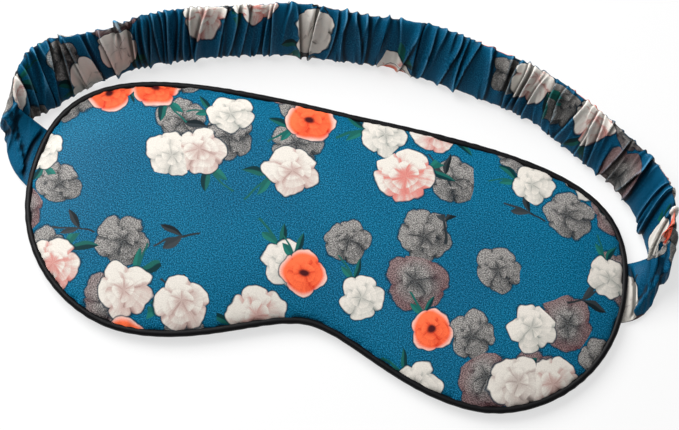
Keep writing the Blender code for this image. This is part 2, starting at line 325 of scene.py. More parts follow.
def stem_and_leaves(tree, local):
    """A bent stem with two lance leaves beside a flower: how far inside, and light."""
    along, aside = plan_parts(tree, local)
    bend = calc(tree, "MULTIPLY", calc(tree, "MULTIPLY", along, along), STEM_BEND)
    off = calc(tree, "ABSOLUTE", calc(tree, "SUBTRACT", aside, bend))
    stem = ease(tree, calc(tree, "SUBTRACT", STEM_HALF, off), 0.0, SOFT_EDGE)
    stem = calc(tree, "MULTIPLY", stem, ease(tree, along, 0.0, 0.1))
    whole = calc(tree, "MULTIPLY", stem, calc(tree, "LESS_THAN", along, STEM_LENGTH))
    lights = []
    for turn, length in LEAVES:
        x, y = plan_parts(tree, spun(tree, vector(tree, "SUBTRACT", local, LEAF_FOOT), turn))
        run = calc(tree, "DIVIDE", calc(tree, "SUBTRACT", x, length), length)
        width = calc(tree, "MULTIPLY_ADD", calc(tree, "MULTIPLY", run, run), -LEAF_HALF, LEAF_HALF)
        inside = calc(tree, "SUBTRACT", width, calc(tree, "ABSOLUTE", y))
        whole = calc(tree, "MAXIMUM", whole, ease(tree, inside, 0.0, SOFT_EDGE))
        lights.append(ease(tree, y, -0.02, 0.03))
    return whole, calc(tree, "MULTIPLY_ADD", lights[0], 0.5, calc(tree, "MULTIPLY", lights[1], 0.3))


print("stems and leaves ready")

# %% [markdown]
# The print lies in layers: the ground, grey flowers half sunk in it, a grain of speckles, loose sprigs,
# then white and coral flowers with dark outlines and stems. One node group holds it all and takes cloth
# places in metres, so the flat front and the gathered strap share it. Grain sets how strong the speckles
# are, and density how many of the scattered flowers are drawn.

# %% Flower print
# Each scatter's cell size, seed and flower radius, in mm of cloth, and the share of its cells with a flower
GREY_SCATTER, GREY_SHARE = (24, 3.0, 9.2), 0.78
SPRIG_SCATTER, SPRIG_SHARE = (37, 31.0, 8.5), 0.6
WHITE_SCATTER, WHITE_SHARE = (27, 14.0, 9.2), 0.8
CORAL_SCATTER, CORAL_SHARE = (46, 23.0, 8.6), 0.75
SWAY_MM = 5.0


def flower_print():
    """The print as a node group: cloth places, grain and density go in, and a colour comes out."""
    group = bpy.data.node_groups.new("flower_print", "ShaderNodeTree")
    group.interface.new_socket("Cloth", in_out="INPUT", socket_type="NodeSocketVector")
    group.interface.new_socket("Grain", in_out="INPUT", socket_type="NodeSocketFloat")
    group.interface.new_socket("Density", in_out="INPUT", socket_type="NodeSocketFloat")
    group.interface.new_socket("Color", in_out="OUTPUT", socket_type="NodeSocketColor")
    start, end = node(group, "NodeGroupInput"), node(group, "NodeGroupOutput")
    flat = vector(group, "MULTIPLY", start.outputs["Cloth"], (1 / MM, 1 / MM, 0))
    sway = vector(group, "SUBTRACT", noise(group, flat, 0.09, 1.0).outputs["Color"], (0.5, 0.5, 0.5))
    cloth = vector(group, "ADD", flat, vector(group, "MULTIPLY", sway, (SWAY_MM, SWAY_MM, 0)))
    frayed = calc(group, "MULTIPLY_ADD", noise(group, flat, 0.24, 1.0).outputs["Fac"], 0.6, -0.3)
    grain = ease(group, noise(group, flat, 2.6, 2.0).outputs["Fac"], 0.3, 0.7)

    def lay(colour, share, paint):
        return mix(group, share, colour, paint)

    def drawn(luck, share):
        """1 where this flower is drawn, 0 where its cell stays empty."""
        return calc(group, "LESS_THAN", luck.outputs["Blue"],
                    calc(group, "MULTIPLY", start.outputs["Density"], share))

    def lay_stem(colour, here, local, deep, pale):
        shape, shine = stem_and_leaves(group, local)
        return lay(colour, calc(group, "MULTIPLY", here, shape), mix(group, shine, deep, pale))

    def lay_flower(colour, here, inside, paint):
        rim = calc(group, "MULTIPLY", ease(group, inside, -0.07, -0.01), 0.75)
        colour = lay(colour, calc(group, "MULTIPLY", here, rim), OUTLINE)
        return lay(colour, calc(group, "MULTIPLY", here, ease(group, inside, -0.01, 0.05)), paint)

    clouds = ease(group, noise(group, flat, 0.03, 2.0).outputs["Fac"], 0.35, 0.65)
    colour = mix(group, clouds, GROUND, GROUND_DEEP)

    # Grey flowers, half sunk in the ground
    local, luck, slope = scatter(group, cloth, *GREY_SCATTER)
    inside, reach, light = petals(group, local, luck, slope, 5, 3, frayed)
    paint = mix(group, calc(group, "POWER", light, 1.7), GREY_DEEP, GREY_PALE)
    ruddy = ease(group, luck.outputs["Green"], 0.6, 0.7)
    ruddy = calc(group, "MULTIPLY", ruddy, ease(group, reach, 0.3, 0.9))
    paint = mix(group, calc(group, "MULTIPLY", ruddy, 0.6), paint, MAROON)
    colour = lay_flower(colour, drawn(luck, GREY_SHARE), inside, paint)

    # Grain over the ground and the grey flowers
    speckle = calc(group, "MULTIPLY", calc(group, "SUBTRACT", grain, 0.5), start.outputs["Grain"])
    colour = scaled(group, colour, calc(group, "ADD", speckle, 1.0))
    colour = lay(colour, calc(group, "MULTIPLY", ease(group, grain, 0.55, 1.0), 0.04), SPECK)

    # Loose sprigs
    local, luck, _ = scatter(group, cloth, *SPRIG_SCATTER)
    colour = lay_stem(colour, drawn(luck, SPRIG_SHARE), local, SPRIG_DEEP, SPRIG_PALE)

    # White and blush flowers with stems
    local, luck, slope = scatter(group, cloth, *WHITE_SCATTER)
    here = drawn(luck, WHITE_SHARE)
    colour = lay_stem(colour, here, local, LEAF_DEEP, LEAF_PALE)
    inside, reach, light = petals(group, local, luck, slope, 5, 3, frayed)
    paint = mix(group, calc(group, "POWER", light, 0.7), WHITE_DEEP, WHITE_PALE)
    warm = ease(group, luck.outputs["Green"], 0.35, 0.9)
    warm = calc(group, "MULTIPLY", warm, ease(group, light, 1.0, 0.4))
    paint = mix(group, calc(group, "MULTIPLY", warm, 0.8), paint, BLUSH)
    colour = lay_flower(colour, here, inside, paint)

    # Coral flowers with stems
    local, luck, slope = scatter(group, cloth, *CORAL_SCATTER)
    here = drawn(luck, CORAL_SHARE)
    colour = lay_stem(colour, here, local, LEAF_DEEP, LEAF_PALE)
    inside, reach, light = petals(group, local, luck, slope, 4, 3, frayed)
    paint = mix(group, light, CORAL_DEEP, CORAL_PALE)
    paint = mix(group, calc(group, "MULTIPLY", ease(group, reach, 0.75, 1.0), 0.7), paint, WHITE_PALE)
    paint = mix(group, ease(group, reach, 0.24, 0.1), paint, CORAL_HEART)
    colour = lay_flower(colour, here, inside, paint)

    colour = scaled(group, colour, calc(group, "MULTIPLY_ADD", grain, 0.16, 0.92))
    group.links.new(colour, end.inputs["Color"])
    return group


FLOWERS = flower_print()
print("flower print nodes", len(FLOWERS.nodes))

# %% [markdown]
# Satin is woven with long floating threads, so it is smooth, softly glossy and a little streaked along the
# thread. The print sets its colour, and a fine stretched noise breaks the gloss. On the strap a value stored
# on the mesh points paints shade into the grooves and a highlight with a sheen onto the crests, because the
# finest turns of a gathered cloth are smaller than its mesh. The strap's print is also darkened as a whole,
# as painted shade. Pale flowers are kept pale there.

# %% Satin finishes
SATIN_ROUGH, ROUGH_SPREAD = 0.46, 0.16
THREADS = (700.0, 3500.0, 700.0)
DYE_SCALE = 900.0
FRONT_GRAIN, FRONT_DENSITY = 1.35, 1.0
STRAP_GRAIN, STRAP_DENSITY = 0.5, 0.55
PALE_CLOTH, PALE_SHARE = srgb(234, 230, 222), 0.7
# A cap for the painted highlights, the strengths of the painted groove shade and crest highlight, and the
# painted sheen of the strap
BRIGHTEST = (0.82, 0.79, 0.74)
GROOVE_DARK, CREST_LIGHT = -0.8, 1.2
SHEEN_COLOUR, SHEEN_SHARE = srgb(120, 168, 190), 0.34


def paint_fold_light_and_shade(tree, colour):
    """The print on the gathers, with painted shade in the grooves and a painted highlight and sheen on the
    crests.
    """
    painted_fold_shade = node(tree, "ShaderNodeAttribute", attribute_name="painted_fold_shade").outputs["Fac"]
    crest, groove = ease(tree, painted_fold_shade, 0.1, 0.9), ease(tree, painted_fold_shade, 0.0, -0.8)
    value = node(tree, "ShaderNodeRGBToBW", {"Color": colour}).outputs["Val"]
    pale = ease(tree, value, 0.2, 0.5)
    # Painted shade: the strap's print is darkened as a whole by a gamma curve
    colour = node(tree, "ShaderNodeGamma", {"Color": colour, "Gamma": 1.15}).outputs["Color"]
    colour = mix(tree, calc(tree, "MULTIPLY", pale, PALE_SHARE), colour, PALE_CLOTH)
    # Painted shade in the grooves and a painted highlight on the crests, no brighter than pale cloth
    depth = calc(tree, "MULTIPLY_ADD", groove, GROOVE_DARK, 1.0)
    colour = scaled(tree, colour, calc(tree, "MULTIPLY_ADD", crest, CREST_LIGHT, depth))
    colour = vector(tree, "MINIMUM", colour, BRIGHTEST)
    # Painted sheen on the crests, weaker on pale print
    sheen = calc(tree, "MULTIPLY", crest, calc(tree, "MULTIPLY_ADD", pale, -SHEEN_SHARE, SHEEN_SHARE))
    return mix(tree, sheen, colour, SHEEN_COLOUR)


def satin(name, coords_from, cloth_scale, gloss, plain=None, gathered=False):
    """Satin with the flower print, or in one plain dye, on object places or on the cloth's own map; on
    gathers with painted shade and highlights.
    """
    material, tree, shader = new_material(name)
    coords = node(tree, "ShaderNodeTexCoord").outputs[coords_from]
    cloth = vector(tree, "MULTIPLY", coords, cloth_scale)
    if plain:
        fine = noise(tree, cloth, DYE_SCALE, 2.0).outputs["Fac"]
        colour = mix(tree, fine, [c * 0.85 for c in plain[:3]] + [1], [c * 1.12 for c in plain[:3]] + [1])
    else:
        group = node(tree, "ShaderNodeGroup", node_tree=FLOWERS)
        tree.links.new(cloth, group.inputs["Cloth"])
        group.inputs["Grain"].default_value = STRAP_GRAIN if gathered else FRONT_GRAIN
        group.inputs["Density"].default_value = STRAP_DENSITY if gathered else FRONT_DENSITY
        colour = group.outputs["Color"]
    # Gathered satin gets painted shade in its grooves and a painted highlight and sheen on its crests
    if gathered:
        colour = paint_fold_light_and_shade(tree, colour)
    tree.links.new(colour, shader.inputs["Base Color"])
    thread = noise(tree, vector(tree, "MULTIPLY", cloth, THREADS), 1.0, 2.0).outputs["Fac"]
    rough = calc(tree, "MULTIPLY_ADD", thread, ROUGH_SPREAD, SATIN_ROUGH - ROUGH_SPREAD / 2)
    tree.links.new(rough, shader.inputs["Roughness"])
    bump = node(tree, "ShaderNodeBump", {"Height": thread, "Strength": 0.12, "Distance": 0.0002})
    tree.links.new(bump.outputs["Normal"], shader.inputs["Normal"])
    shader.inputs["Specular IOR Level"].default_value = gloss
    return material


SLEEVE_CLOTH = (400 * MM, 56 * MM)      # the strap's fabric before it was gathered
PRINT_FRONT = satin("printed_satin_front", "Object", (1, 1, 1), 0.06)
PRINT_STRAP = satin("printed_satin_strap", "UV", (*SLEEVE_CLOTH, 1), 0.07, gathered=True)
PLAIN_BACK = satin("plain_satin_back", "Object", (1, 1, 1), 0.1, plain=srgb(4, 98, 134))
BLACK_PIPING = satin("black_satin_piping", "Object", (1, 1, 1), 0.14, plain=srgb(12, 12, 14))
print("satin finishes ready")

# %% [markdown]
# The cloths inside a mask are matt: fluffy wadding, a dense dark interlining and woven elastic. One
# finish with two tones in a fibre noise does for all three, at three sizes of fibre.

# %% Inner cloths


def dull_cloth(name, low, high, scale, rough):
    """Matt inner cloth or wadding: two tones in a fibre noise."""
    material, tree, shader = new_material(name)
    coords = node(tree, "ShaderNodeTexCoord").outputs["Object"]
    fibre = noise(tree, coords, scale, 4.0).outputs["Fac"]
    tree.links.new(mix(tree, fibre, low, high), shader.inputs["Base Color"])
    bump = node(tree, "ShaderNodeBump", {"Height": fibre, "Strength": 0.4, "Distance": 0.0004})
    tree.links.new(bump.outputs["Normal"], shader.inputs["Normal"])
    shader.inputs["Roughness"].default_value = rough
    return material


WADDING = dull_cloth("white_wadding", srgb(205, 204, 198), srgb(244, 243, 238), 260, 0.95)
LINING = dull_cloth("black_interlining", srgb(14, 14, 16), srgb(36, 36, 40), 1600, 0.85)
ELASTIC = dull_cloth("white_elastic", srgb(196, 196, 190), srgb(236, 236, 230), 1400, 0.8)
print("inner cloths ready")

# %% [markdown]
# Every sewn piece follows one line: the seam round the mask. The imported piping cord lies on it, so the
# line is read from the cord's topmost points, sorted round the mask and smoothed into an even closed
# curve.

# %% Seam line
SEAM_COUNT = 480
CURVE_STEPS = 24
CREST_DEPTH = 0.01 * MM
SORT_CENTRE_Y = 5 * MM
EDGE_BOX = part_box("piping_cover")
SEAM_Z = (EDGE_BOX[0].z + EDGE_BOX[1].z) / 2
PIPING_RADIUS = (EDGE_BOX[1].z - EDGE_BOX[0].z) / 2


def spline(p0, p1, p2, p3, t):
    """The point a share t of the way from p1 to p2 on a smooth curve through four points."""
    return 0.5 * (2 * p1 + (p2 - p0) * t + (2 * p0 - 5 * p1 + 4 * p2 - p3) * t**2
                  + (3 * p1 - p0 - 3 * p2 + p3) * t**3)


def closed_curve(points, count):
    """A smooth closed curve through points, at even spacing."""
    before, after, beyond = (np.roll(points, shift, 0) for shift in (1, -1, -2))
    steps = np.linspace(0, 1, CURVE_STEPS, endpoint=False)
    dense = np.stack([spline(before, points, after, beyond, t) for t in steps], 1)
    dense = dense.reshape(-1, points.shape[1])
    closed = np.vstack([dense, dense[:1]])
    reach = np.concatenate([[0], np.cumsum(np.linalg.norm(np.diff(closed, axis=0), axis=1))])
    goal = np.linspace(0, reach[-1], count, endpoint=False)
    return np.stack([np.interp(goal, reach, closed[:, k]) for k in range(points.shape[1])], 1)


cord = np.array([v.co for v in frame["nodes"]["piping_cord"].data.vertices])
crest = np.unique(cord[cord[:, 2] > cord[:, 2].max() - CREST_DEPTH][:, :2].round(7), axis=0)
crest = crest[np.argsort(np.arctan2(crest[:, 1] - SORT_CENTRE_Y, crest[:, 0]))]
RIM = closed_curve(crest, SEAM_COUNT)
along = np.roll(RIM, -1, 0) - np.roll(RIM, 1, 0)
RIM_OUT = np.stack([along[:, 1], -along[:, 0]], 1) / np.linalg.norm(along, axis=1)[:, None]
RIM_LENGTH = np.linalg.norm(np.roll(RIM, -1, 0) - RIM, axis=1).sum()
print("seam points", len(crest), "seam length in mm", round(RIM_LENGTH / MM, 1))

# %% [markdown]
# The pad is a stuffed case. It could be modelled by hand, but cloth swells in its own way between its
# seams. So the case is lofted a little slimmer than the solid first, from the back over the seam to the
# front, and remeshed into even squares that can swell evenly.

# %% Pad case
FRONT_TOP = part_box("front_panel")[1].z
PAD_RINGS, PAD_INMOST, PAD_CROWDING = 14, 0.9, 1.6
SPINE_SHARE, SPINE_RISE = 0.55, 8 * MM
HALF_WIDTH = abs(RIM[:, 0]).max()
PAD_VOXEL = 2.2 * MM
START_DROP, BACK_START = 0.2 * MM, 0.2 * MM
EDGE_TOP, EDGE_LOW = SEAM_Z + 1.2 * MM, SEAM_Z - 1.2 * MM
CROWN_LEVEL, CROWN_POWER, BACK_LEVEL = 0.8, 2.5, 0.3


def loft_object(name, rings, caps):
    """A mesh through closed rings of points, with its end rings filled where caps says so."""
    count = len(rings[0])
    verts = np.concatenate(rings)
    faces = []
    for row in range(len(rings) - 1):
        for index in range(count):
            following = (index + 1) % count
            faces.append((row * count + index, row * count + following,
                          (row + 1) * count + following, (row + 1) * count + index))
    if caps:
        faces.append(tuple(reversed(range(count))))
        faces.append(tuple(range((len(rings) - 1) * count, len(rings) * count)))
    mesh = bpy.data.meshes.new(name)
    mesh.from_pydata(verts.tolist(), [], faces)
    item = bpy.data.objects.new(name, mesh)
    bpy.context.scene.collection.objects.link(item)
    bpy.ops.object.select_all(action="DESELECT")
    item.select_set(True)
    bpy.context.view_layer.objects.active = item
    bpy.ops.object.mode_set(mode="EDIT")
    bpy.ops.mesh.select_all(action="SELECT")
    bpy.ops.mesh.normals_make_consistent(inside=False)
    bpy.ops.object.mode_set(mode="OBJECT")
    bpy.ops.object.shade_smooth()
    return item


across = RIM[:, 0] / HALF_WIDTH
SPINE = np.stack([RIM[:, 0] * SPINE_SHARE, SPINE_RISE * (1 - across**2)], 1)
shares = np.linspace(0, PAD_INMOST, PAD_RINGS) ** PAD_CROWDING
pad_rings = []
for side in (-1, 1):
    for share in (shares[::-1] if side < 0 else shares):
        plan = RIM + (SPINE - RIM) * share
        if side > 0:
            run = min(share / CROWN_LEVEL, 1.0)
            height = EDGE_TOP + (FRONT_TOP - START_DROP - EDGE_TOP) * (1 - (1 - run) ** CROWN_POWER)
        else:
            height = EDGE_LOW * (1 - min(share / BACK_LEVEL, 1.0)) ** 2 + BACK_START
        pad_rings.append(np.column_stack([plan, np.full(len(plan), height)]))
pad = loft_object("satin_case", pad_rings, caps=True)
remesh = pad.modifiers.new("even_squares", "REMESH")
remesh.mode = "VOXEL"
remesh.voxel_size = PAD_VOXEL
bpy.ops.object.modifier_apply(modifier=remesh.name)
print("case points", len(pad.data.vertices))

# %% [markdown]
# Wadding pushes the satin out wherever no seam holds it. Pressure inside a cloth simulation does the
# same: the points near the seam are pinned, and the rest is blown up for a few frames. The swelling is
# capped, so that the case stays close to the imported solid.

# %% Swell the case
PIN_REACH = 2.0 * MM
SWELL_CAP = 2.5 * MM
SWELL_FRAMES = 20
PRESSURE, CLOTH_STIFF, CLOTH_BEND = 1.0, 15, 2.0
CHUNK = 4000


def verts_of(item):
    co = np.empty(len(item.data.vertices) * 3, np.float32)
    item.data.vertices.foreach_get("co", co)
    return co.reshape(-1, 3).astype(float)


def set_verts(item, co):
    item.data.vertices.foreach_set("co", co.astype(np.float32).ravel())
    item.data.update()


def seam_of(points):
    """For plan points: the way in from the seam, and the place along it from 0 to 1."""
    way, place = np.empty(len(points)), np.empty(len(points))
    for start in range(0, len(points), CHUNK):
        part = points[start:start + CHUNK, None, :2] - RIM[None]
        nearest = np.linalg.norm(part, axis=2).argmin(1)
        rows = np.arange(len(nearest))
        way[start:start + CHUNK] = -(part[rows, nearest] * RIM_OUT[nearest]).sum(1)
        place[start:start + CHUNK] = nearest / SEAM_COUNT
    return way, place


start = verts_of(pad)
pins = pad.vertex_groups.new(name="seam")
pins.add([int(i) for i in np.where(seam_of(start)[0] < PIN_REACH)[0]], 1.0, "REPLACE")
cloth = pad.modifiers.new("swell", "CLOTH")
cloth.settings.vertex_group_mass = "seam"
cloth.settings.use_pressure = True
cloth.settings.uniform_pressure_force = PRESSURE
cloth.settings.effector_weights.gravity = 0.0
cloth.settings.shrink_min = 0.0
cloth.settings.tension_stiffness = CLOTH_STIFF
cloth.settings.compression_stiffness = CLOTH_STIFF
cloth.settings.bending_stiffness = CLOTH_BEND
for step in range(1, SWELL_FRAMES + 1):
    bpy.context.scene.frame_set(step)
bpy.ops.object.modifier_apply(modifier=cloth.name)
bpy.context.scene.frame_set(1)
moved = verts_of(pad) - start
reach = np.linalg.norm(moved, axis=1)
moved *= np.minimum(1, SWELL_CAP / np.maximum(reach, 1e-9))[:, None]
set_verts(pad, start + moved)
print("most swelling in mm", round(reach.max() / MM, 2))

# %% [markdown]
# A sewn edge puckers: the thread draws the cloth into small humps that fade a few millimetres in. Random
# waves round the seam lift and lower the cloth there. The back is then pressed flat on the table, and
# points that would cut into the wadding or the interlining are moved clear of them.

# %% Seam pucker
PUCKER_DEPTH = 0.5 * MM
PUCKER_REACH = 3.0 * MM
BACK_PUCKER = 0.4
FINE_WAVES, WIDE_WAVES, WIDE_SHARE = 130, 40, 0.5
WADDING_CLEAR, LINING_CLEAR = 0.4 * MM, 0.25 * MM
TABLE_CLEAR, LEAST_HEIGHT = 0.15 * MM, 0.02 * MM


def even_noise(seed, count, waves):
    """A closed random wave from -1 to 1 round a line, with about that many humps."""
    rng = np.random.default_rng(seed)
    turns = np.linspace(0, 2 * np.pi, count, endpoint=False)
    total = np.zeros(count)
    for step in range(-waves // 3, waves // 3 + 1):
        total += rng.uniform(0.4, 1) * np.cos((waves + step) * turns + rng.uniform(0, 2 * np.pi))
    return total / abs(total).max()


def keep_clear(co, chosen, name, side, gap):
    """Moves chosen points clear of an inner piece, above it (side 1) or below (side -1), and counts them."""
    inner = BVHTree.FromObject(frame["nodes"][name], bpy.context.evaluated_depsgraph_get())
    count = 0
    for index in np.where(chosen)[0]:
        hit = inner.ray_cast(Vector((co[index, 0], co[index, 1], side)), Vector((0, 0, -side)))[0]
        if hit and side * co[index, 2] < side * hit.z + gap:
            co[index, 2] = max(hit.z + side * gap, LEAST_HEIGHT)
            count += 1
    return count


subdivide = pad.modifiers.new("finer", "SUBSURF")
subdivide.levels = subdivide.render_levels = 1
bpy.ops.object.modifier_apply(modifier=subdivide.name)
co = verts_of(pad)
way, place = seam_of(co)
slot_index = np.clip((place * SEAM_COUNT).astype(int), 0, SEAM_COUNT - 1)
waves = even_noise(5, SEAM_COUNT, FINE_WAVES) + WIDE_SHARE * even_noise(9, SEAM_COUNT, WIDE_WAVES)
front = co[:, 2] > SEAM_Z
depth = np.where(front, 1, BACK_PUCKER) * PUCKER_DEPTH
co[:, 2] += depth * waves[slot_index] * np.exp(-np.maximum(way, 0) / PUCKER_REACH)
co[:, 2] = np.maximum(co[:, 2], TABLE_CLEAR)
raised = keep_clear(co, front, "padding", 1, WADDING_CLEAR)
lowered = keep_clear(co, ~front, "blackout_lining", -1, LINING_CLEAR)
set_verts(pad, co)
print("points lifted clear of the wadding", raised, "and lowered clear of the lining", lowered)

# %% [markdown]
# The case is one mesh, but on the real mask it is two panels that meet in the seam. So its faces above
# the seam get the printed satin and those below it the plain one, and it stands for both packed panels.

# %% Dress the case
pad.data.materials.append(PRINT_FRONT)
pad.data.materials.append(PLAIN_BACK)
for face in pad.data.polygons:
    face.material_index = 0 if face.center.z > SEAM_Z else 1
    face.use_smooth = True
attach(pad, "mask")
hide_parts("front_panel", "back_panel")
print("case faces", len(pad.data.polygons))

# %% [markdown]
# The piping is a bias strip folded round a cord, so its satin twists and ripples slightly round the
# curve. A tube on the seam line is enough, with a low ripple along it.

# %% Piping
PIPING_SIDES = 16
RIPPLE = 0.1 * MM
RIPPLE_WAVES = 110
PIPING_WELD = 0.01 * MM


def weld(gap):
    """Joins points of the active mesh that lie within a gap, and turns its faces outwards."""
    bpy.ops.object.mode_set(mode="EDIT")
    bpy.ops.mesh.select_all(action="SELECT")
    bpy.ops.mesh.remove_doubles(threshold=gap)
    bpy.ops.mesh.normals_make_consistent(inside=False)
    bpy.ops.object.mode_set(mode="OBJECT")


ripple = even_noise(21, SEAM_COUNT, RIPPLE_WAVES) * RIPPLE
sections = []
for turn in np.linspace(0, 2 * np.pi, PIPING_SIDES, endpoint=False):
    radius = PIPING_RADIUS + ripple * (0.6 + 0.4 * np.cos(turn * 2))
    plan = RIM + RIM_OUT * (radius * np.cos(turn))[:, None]
    sections.append(np.column_stack([plan, SEAM_Z + radius * np.sin(turn)]))
piping = loft_object("black_piping", sections + [sections[0]], caps=False)
weld(PIPING_WELD)
piping.data.materials.append(BLACK_PIPING)
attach(piping, "mask")
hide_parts("piping_cover")
print("piping points", len(piping.data.vertices))

# %% [markdown]
# The strap is one flat tube of satin, gathered on an elastic. It leaves each side seam flat, turns up on
# its long edge and stands behind the mask. Two curves carry it: the edge that stays on the table and the
# edge that rises. Both go through places measured in the photograph, so the loop is as uneven as the
# real one.

# %% Strap places
END_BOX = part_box("right_strap_end")
FRONT_Y, REAR_Y = END_BOX[0].y / MM, END_BOX[1].y / MM
STRAP_END_Z = frame["joints"][0]["pos_m"][2]
SEWN_Z = STRAP_END_Z / MM
# Places in mm, the edge on the table beside the edge that rises, from the left seam round to the right seam
EDGES = [
    ((-101.5, FRONT_Y, SEWN_Z), (-101.5, REAR_Y + 1, SEWN_Z)),
    ((-106.5, -3.5, 1.5), (-105, 17.6, 3.5)), ((-112.5, 1.5, 1.1), (-109.5, 18.5, 8)),
    ((-116, 7.5, 0.9), (-113.8, 19.5, 12.5)), ((-115.6, 14, 0.8), (-116.4, 22.5, 16.5)),
    ((-110.8, 20, 0.7), (-116.6, 28.5, 19)), ((-105, 25, 0.7), (-114.6, 35.5, 20.5)),
    ((-99.3, 31, 0.6), (-109.5, 41, 21.5)), ((-92.5, 38.2, 0.6), (-100.5, 46.2, 22)),
    ((-84.3, 44.6, 0.6), (-89.5, 53, 22)), ((-75, 49.6, 0.6), (-78.5, 59.6, 22)),
    ((-65, 54, 0.6), (-67.4, 64.6, 22)), ((-55.2, 58, 0.6), (-57, 68.4, 22)),
    ((-45, 61.4, 0.6), (-46.8, 71.9, 22)), ((-34.6, 64.2, 0.6), (-36.2, 74.6, 22)),
    ((-24, 66.2, 0.6), (-25.5, 76.6, 22)), ((-13.2, 67.8, 0.6), (-14.4, 78.3, 22)),
    ((-2, 69, 0.6), (-3, 79.2, 22)), ((8.4, 69.5, 0.6), (8.6, 79.5, 22)),
    ((19.6, 68.9, 0.6), (20, 79.3, 22)), ((30.8, 67.8, 0.6), (31.8, 78.2, 22)),
    ((42, 66.2, 0.6), (43.5, 76, 22)), ((53.6, 63.7, 0.6), (55.5, 72.8, 22)),
    ((65, 59.8, 0.6), (67.5, 68.5, 22)), ((76, 54.5, 0.6), (79, 63.5, 22)),
    ((86.5, 48.5, 0.6), (90, 57.5, 22)), ((95, 42.8, 0.6), (99.5, 51.5, 22)),
    ((102.8, 35.5, 0.6), (107.5, 45, 22)), ((107.3, 27.5, 0.7), (112, 38, 21.5)),
    ((111.2, 19, 0.7), (114.3, 30.5, 20)), ((114.6, 11.5, 0.8), (114.5, 24, 17)),
    ((115.2, 4.5, 0.9), (112.5, 19.5, 12.5)), ((112.4, -1, 1.1), (109, 17.5, 7.5)),
    ((107, -5, 1.5), (105, 16.3, 3.5)), ((101.5, FRONT_Y, SEWN_Z), (101.5, REAR_Y, SEWN_Z)),
]
print("strap places", len(EDGES))

# %% [markdown]
# The places are joined by smooth curves and cut into even stations. A slow wobble is added to each edge,
# since cloth never runs quite true. Every station then has a middle, a half width across the band, a way
# along it and a way through it, and all that follows is built on these.

# %% Strap edges
STRAP_STATIONS = 1000
EDGE_SMOOTH = 3.5 * MM
FREE_FROM, FREE_OVER = 10 * MM, 14 * MM


def open_curve(points, steps):
    """A smooth open curve through points, the same number of steps in each span."""
    padded = np.vstack([2 * points[:1] - points[1:2], points, 2 * points[-1:] - points[-2:-1]])
    corners = padded[:-3], padded[1:-2], padded[2:-1], padded[3:]
    spans = [spline(*corners, t) for t in np.linspace(0, 1, steps, endpoint=False)]
    return np.vstack([np.stack(spans, 1).reshape(-1, 3), points[-1:]])


def even_open_noise(seed, run, step):
    """A smooth random curve from -1 to 1 over a length, with a new value every step."""
    values = np.random.default_rng(seed).uniform(-1, 1, int(run[-1] / step) + 4)
    at = run / step
    index = at.astype(int)
    t = at - index
    t = t * t * (3 - 2 * t)
    return values[index] * (1 - t) + values[index + 1] * t


def smoothed(points, width):
    """Points with their wobble averaged out over a width in stations; both ends stay."""
    reach = np.arange(-3 * width, 3 * width + 1)
    weight = np.exp(-0.5 * (reach / width) ** 2)
    weight /= weight.sum()
    head = 2 * points[:1] - points[1:3 * width + 1][::-1]
    tail = 2 * points[-1:] - points[-3 * width - 1:-1][::-1]
    longer = np.vstack([head, points, tail])
    return np.stack([np.convolve(longer[:, k], weight, "valid") for k in range(3)], 1)


def strap_edges(stations):
    """Even stations on the lower and the upper edge, and their places along the strap."""
    low, high = (open_curve(np.array([pair[k] for pair in EDGES]) * MM, CURVE_STEPS) for k in (0, 1))
    mid = (low + high) / 2
    reach = np.concatenate([[0], np.cumsum(np.linalg.norm(np.diff(mid, axis=0), axis=1))])
    goal = np.linspace(0, reach[-1], stations)
    low, high = (np.stack([np.interp(goal, reach, e[:, k]) for k in range(3)], 1) for e in (low, high))
    width = int(EDGE_SMOOTH / goal[1])
    return smoothed(low, width), smoothed(high, width), goal


LOW, HIGH, RUN = strap_edges(STRAP_STATIONS + 1)
STRAP_LENGTH = RUN[-1]
FROM_END = np.minimum(RUN, STRAP_LENGTH - RUN)
FREE = np.clip((FROM_END - FREE_FROM) / FREE_OVER, 0, 1)
# Wobbles: the edge, its axis, a seed, then the length and the height in mm
for edge, axis, seed, length, tall in ((HIGH, 2, 3, 16, 0.9), (HIGH, 1, 4, 22, 1.1), (LOW, 1, 6, 20, 0.7)):
    edge[:, axis] += even_open_noise(seed, RUN, length * MM) * tall * MM * FREE
MIDDLE, HALF = (LOW + HIGH) / 2, (HIGH - LOW) / 2
ALONG = np.gradient(MIDDLE, axis=0)
ALONG /= np.linalg.norm(ALONG, axis=1)[:, None]
THROUGH = np.cross(HALF, ALONG)
THROUGH /= np.linalg.norm(THROUGH, axis=1)[:, None]
print("strap length in mm", round(STRAP_LENGTH / MM, 1))

# %% [markdown]
# The sleeve starts as a flat grid, one cell for each small square of cloth, so its own map stays with
# it. Each point knows its station along the strap and its turn round the tube. The tube's section is a
# flat oval.

# %% Sleeve grid
ROUND_COUNT = 46
OVAL_ACROSS, OVAL_THROUGH = 0.75, 0.85      # below 1 makes an ellipse fuller
bpy.ops.object.select_all(action="DESELECT")
bpy.ops.mesh.primitive_grid_add(x_subdivisions=STRAP_STATIONS, y_subdivisions=ROUND_COUNT, size=1,
                                calc_uvs=True)
sleeve = bpy.context.object
sleeve.name = "gathered_sleeve"
flat = verts_of(sleeve)
station = np.clip(np.rint((flat[:, 0] + 0.5) * STRAP_STATIONS).astype(int), 0, STRAP_STATIONS)
turn = 2 * np.pi * ((flat[:, 1] + 0.5) % 1.0)
oval_across = np.sign(np.cos(turn)) * abs(np.cos(turn)) ** OVAL_ACROSS
oval_through = np.sign(np.sin(turn)) * abs(np.sin(turn)) ** OVAL_THROUGH
run = RUN[station]
print("grid points", len(flat))
